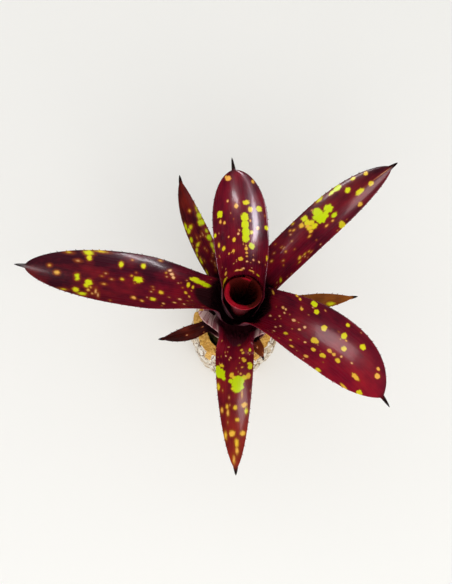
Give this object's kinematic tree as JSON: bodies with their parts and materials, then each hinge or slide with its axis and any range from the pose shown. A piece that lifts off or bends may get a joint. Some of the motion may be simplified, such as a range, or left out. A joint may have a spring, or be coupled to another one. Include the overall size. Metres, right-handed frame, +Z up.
{
  "type": "neoregelia bromeliad in a cork log",
  "caption": "Small tank bromeliad with spreading, spotted, spiny-edged strap leaves, growing upright in a hollowed cork-bark log that stands on its flat sawn foot.",
  "frame": {"origin": "centre of the cork log's flat foot, on the surface that it stands on", "axes": "+Z up, +X to the right along the plant's widest spread, +Y away from the viewer of its front"},
  "size_m": [0.2793, 0.2258, 0.2342],
  "materials": {
    "cork": "rough bark, golden cork on the sawn rim",
    "moss": "damp fibrous moss",
    "stem": "dry scaly stem",
    "heart_leaf": "glossy, translucent red",
    "leaf": "glossy maroon with yellow-green spots",
    "old_leaf": "satin olive brown"
  },
  "bodies": {
    "root": {"cork_holder": "cork", "moss_plug": "moss", "stem": "stem", "leaf_heart": "heart_leaf", "leaf_top": "leaf", "leaf_right": "leaf", "leaf_left": "leaf", "leaf_upper_right": "leaf", "leaf_front": "leaf", "leaf_upper_left": "leaf", "leaf_small_right": "old_leaf", "leaf_small_left": "old_leaf", "leaf_small_back": "old_leaf", "leaf_small_front": "old_leaf"}
  },
  "joints": []
}
